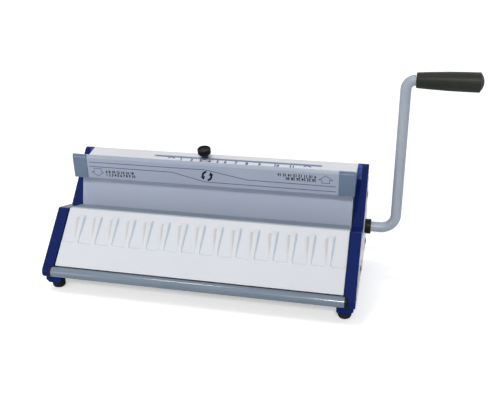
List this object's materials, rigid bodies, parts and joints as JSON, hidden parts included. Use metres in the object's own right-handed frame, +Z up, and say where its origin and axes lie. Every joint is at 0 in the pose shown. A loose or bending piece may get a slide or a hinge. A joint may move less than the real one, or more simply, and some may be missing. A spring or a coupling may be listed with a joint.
{
  "type": "wire binding machine",
  "caption": "Manual desk machine that punches sheets and presses twin-loop wire shut with a side crank.",
  "frame": {"origin": "centre of the outer box at the height of the surface that the feet stand on", "axes": "+X to the crank's side, +Y to the rear, +Z up"},
  "size_m": [0.5758, 0.2122, 0.3052],
  "materials": {
    "blue_shell": "moulded, satin gloss",
    "side_panel": "fine moulded grain",
    "screw_cap": "moulded",
    "rubber": "matte",
    "white_cover": "powder coat",
    "grey_panel": "powder coat",
    "grey_ledge": "powder coat",
    "slate_bar": "satin",
    "slate_cap": "moulded",
    "closing_plate": "satin, with a printed label",
    "black_plastic": "moulded",
    "grip": "moulded, slightly glossy",
    "slide_black": "moulded",
    "crank_tube": "satin",
    "steel": "bright, oiled",
    "bronze": "sintered"
  },
  "bodies": {
    "root": {"side_frame_left": "blue_shell", "side_frame_right": "blue_shell", "side_cover_left": "side_panel", "side_cover_right": "side_panel", "side_screw_left_1": "screw_cap", "side_screw_left_2": "screw_cap", "side_screw_left_3": "screw_cap", "side_screw_right_1": "screw_cap", "side_screw_right_2": "screw_cap", "side_screw_right_3": "screw_cap", "foot_front_left": "rubber", "foot_rear_left": "rubber", "foot_front_right": "rubber", "foot_rear_right": "rubber", "base_plate": "steel", "front_bar": "slate_bar", "bar_ring_left": "black_plastic", "bar_ring_right": "black_plastic", "front_cover": "white_cover", "ledge_plate": "grey_ledge", "paper_rest": "grey_panel", "die_block": "steel", "pin_guide": "steel", "bush_left": "bronze", "crank_bush": "black_plastic", "carrier_guide_left": "black_plastic", "carrier_guide_right": "black_plastic", "top_cover": "white_cover", "rear_cover": "white_cover", "tie_rod": "steel", "return_spring": "steel"},
    "crank": {"crank_arm": "crank_tube", "cross_shaft": "steel", "punch_cam_1": "steel", "punch_cam_2": "steel", "punch_cam_3": "steel", "pinion_left": "steel", "pinion_right": "steel"},
    "grip": {"crank_grip": "grip"},
    "closer": {"slide_carrier_left": "slide_black", "slide_carrier_right": "slide_black", "join_rail": "steel"},
    "bar": {"closing_plate": "closing_plate", "bar_cap_left": "slate_cap", "bar_cap_right": "slate_cap"},
    "punch": {"punch_bar": "steel"},
    "size_stop": {"stop_slider": "steel", "stop_washer": "steel"},
    "knob": {"stop_knob": "black_plastic", "stop_stud": "steel"},
    "tray": {"chip_tray": "black_plastic"}
  },
  "joints": [
    {"name": "crank_turn", "type": "hinge", "parent": "root", "child": "crank", "pos_m": [-0.0683, 0.03447, 0.0829], "axis": [1, 0, 0], "range_deg": [0, 100], "stiffness_Nm_per_rad": 0.6, "springref_deg": -57.3},
    {"name": "grip_spin", "type": "hinge", "parent": "crank", "child": "grip", "pos_m": [0.2317, 0.03447, 0.2922], "axis": [1, 0, 0], "continuous": true},
    {"name": "closer_slide", "type": "slide", "parent": "root", "child": "closer", "axis": [0, -0.2147, -0.9767], "range_m": [0, 0.03666]},
    {"name": "punch_slide", "type": "slide", "parent": "root", "child": "punch", "axis": [0, -0.9767, 0.2147], "range_m": [0, 0.00801]},
    {"name": "bar_draw", "type": "slide", "parent": "closer", "child": "bar", "axis": [0, -0.9965, -0.0837], "range_m": [0, 0.018]},
    {"name": "stop_slide", "type": "slide", "parent": "root", "child": "size_stop", "axis": [1, 0, 0], "range_m": [-0.076, 0.171]},
    {"name": "knob_turn", "type": "hinge", "parent": "size_stop", "child": "knob", "pos_m": [-0.0893, 0.04678, 0.16516], "axis": [0, -0.2519, 0.9678], "range_deg": [0, 180]},
    {"name": "tray_slide", "type": "slide", "parent": "root", "child": "tray", "axis": [0, 1, 0], "range_m": [0, 0.15]}
  ],
  "couplings": [
    {"joint": "closer_slide", "follows": "crank_turn", "m_per_rad": 0.021},
    {"joint": "punch_slide", "follows": "crank_turn", "m_per_rad": 0.0045837}
  ]
}
